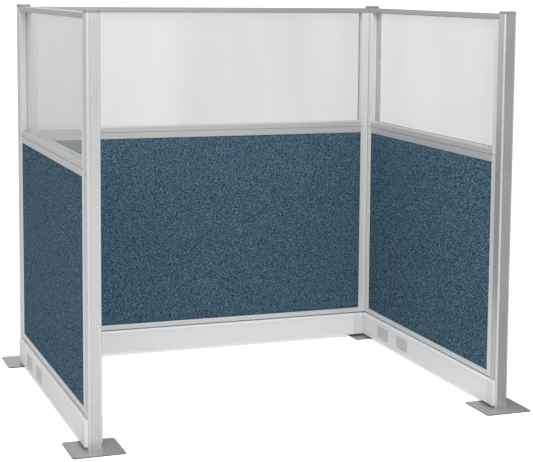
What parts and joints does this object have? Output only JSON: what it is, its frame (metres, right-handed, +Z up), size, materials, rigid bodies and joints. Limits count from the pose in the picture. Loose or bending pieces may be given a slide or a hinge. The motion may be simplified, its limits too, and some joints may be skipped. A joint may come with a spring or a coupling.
{
  "type": "cubicle workstation",
  "caption": "U-shaped office cubicle of panels between slotted posts, each with a fabric field, a hazy glazed window on top and a wiring raceway below.",
  "frame": {"origin": "on the floor, midway between the four posts", "axes": "+X to the right along the back panel, +Y towards the back panel, +Z up"},
  "size_m": [2.114, 1.749, 1.816],
  "materials": {
    "post": "satin clear anodised extrusion with fine lengthwise draw lines",
    "filler": "satin clear anodised strip",
    "frame": "satin clear anodised extrusion with bevelled edges",
    "window_frame": "satin clear anodised extrusion with bevelled edges",
    "core_board": "bare fibre board, hidden behind the fabric tiles",
    "fabric": "slate blue tweed panel cloth with a fine fleck",
    "glazing": "hazy translucent plastic sheet with fine horizontal flutes",
    "channel": "bare zinc plated steel",
    "raceway": "pale silver powder coat, satin",
    "raceway_trim": "pale silver powder coat, satin",
    "blank": "moulded grey plastic with a fine grain",
    "floor_plate": "brushed steel plate",
    "cap": "moulded silver grey plastic",
    "screw": "plain steel",
    "gasket": "pale grey flexible strip",
    "connector": "mill finish extrusion, hidden in the slots"
  },
  "bodies": {
    "root": {"back_fabric_inner": "fabric", "back_fabric_outer": "fabric", "back_frame_bottom_rail": "frame", "back_frame_stiles": "frame", "back_frame_top_rail": "frame", "back_glazing": "glazing", "back_raceway_channel": "channel", "back_raceway_end_trims": "raceway_trim", "back_raceway_inner_cover": "raceway", "back_raceway_outer_cover": "raceway", "back_tack_core": "core_board", "back_window_bottom_rail": "window_frame", "back_window_stiles": "window_frame", "back_window_top_rail": "window_frame", "front_left_floor_plate": "floor_plate", "front_left_post": "post", "front_right_floor_plate": "floor_plate", "front_right_post": "post", "glazing_gaskets": "gasket", "left_fabric_inner": "fabric", "left_fabric_outer": "fabric", "left_frame_bottom_rail": "frame", "left_frame_stiles": "frame", "left_frame_top_rail": "frame", "left_glazing": "glazing", "left_outlet_blanks": "blank", "left_raceway_channel": "channel", "left_raceway_end_trims": "raceway_trim", "left_raceway_inner_cover": "raceway", "left_raceway_outer_cover": "raceway", "left_tack_core": "core_board", "left_window_bottom_rail": "window_frame", "left_window_stiles": "window_frame", "left_window_top_rail": "window_frame", "panel_connectors": "connector", "plate_screws": "screw", "post_caps": "cap", "post_filler_strips": "filler", "rear_left_floor_plate": "floor_plate", "rear_left_post": "post", "rear_right_floor_plate": "floor_plate", "rear_right_post": "post", "right_fabric_inner": "fabric", "right_fabric_outer": "fabric", "right_frame_bottom_rail": "frame", "right_frame_stiles": "frame", "right_frame_top_rail": "frame", "right_glazing": "glazing", "right_outlet_blanks": "blank", "right_raceway_channel": "channel", "right_raceway_end_trims": "raceway_trim", "right_raceway_inner_cover": "raceway", "right_raceway_outer_cover": "raceway", "right_tack_core": "core_board", "right_window_bottom_rail": "window_frame", "right_window_stiles": "window_frame", "right_window_top_rail": "window_frame"}
  },
  "joints": []
}
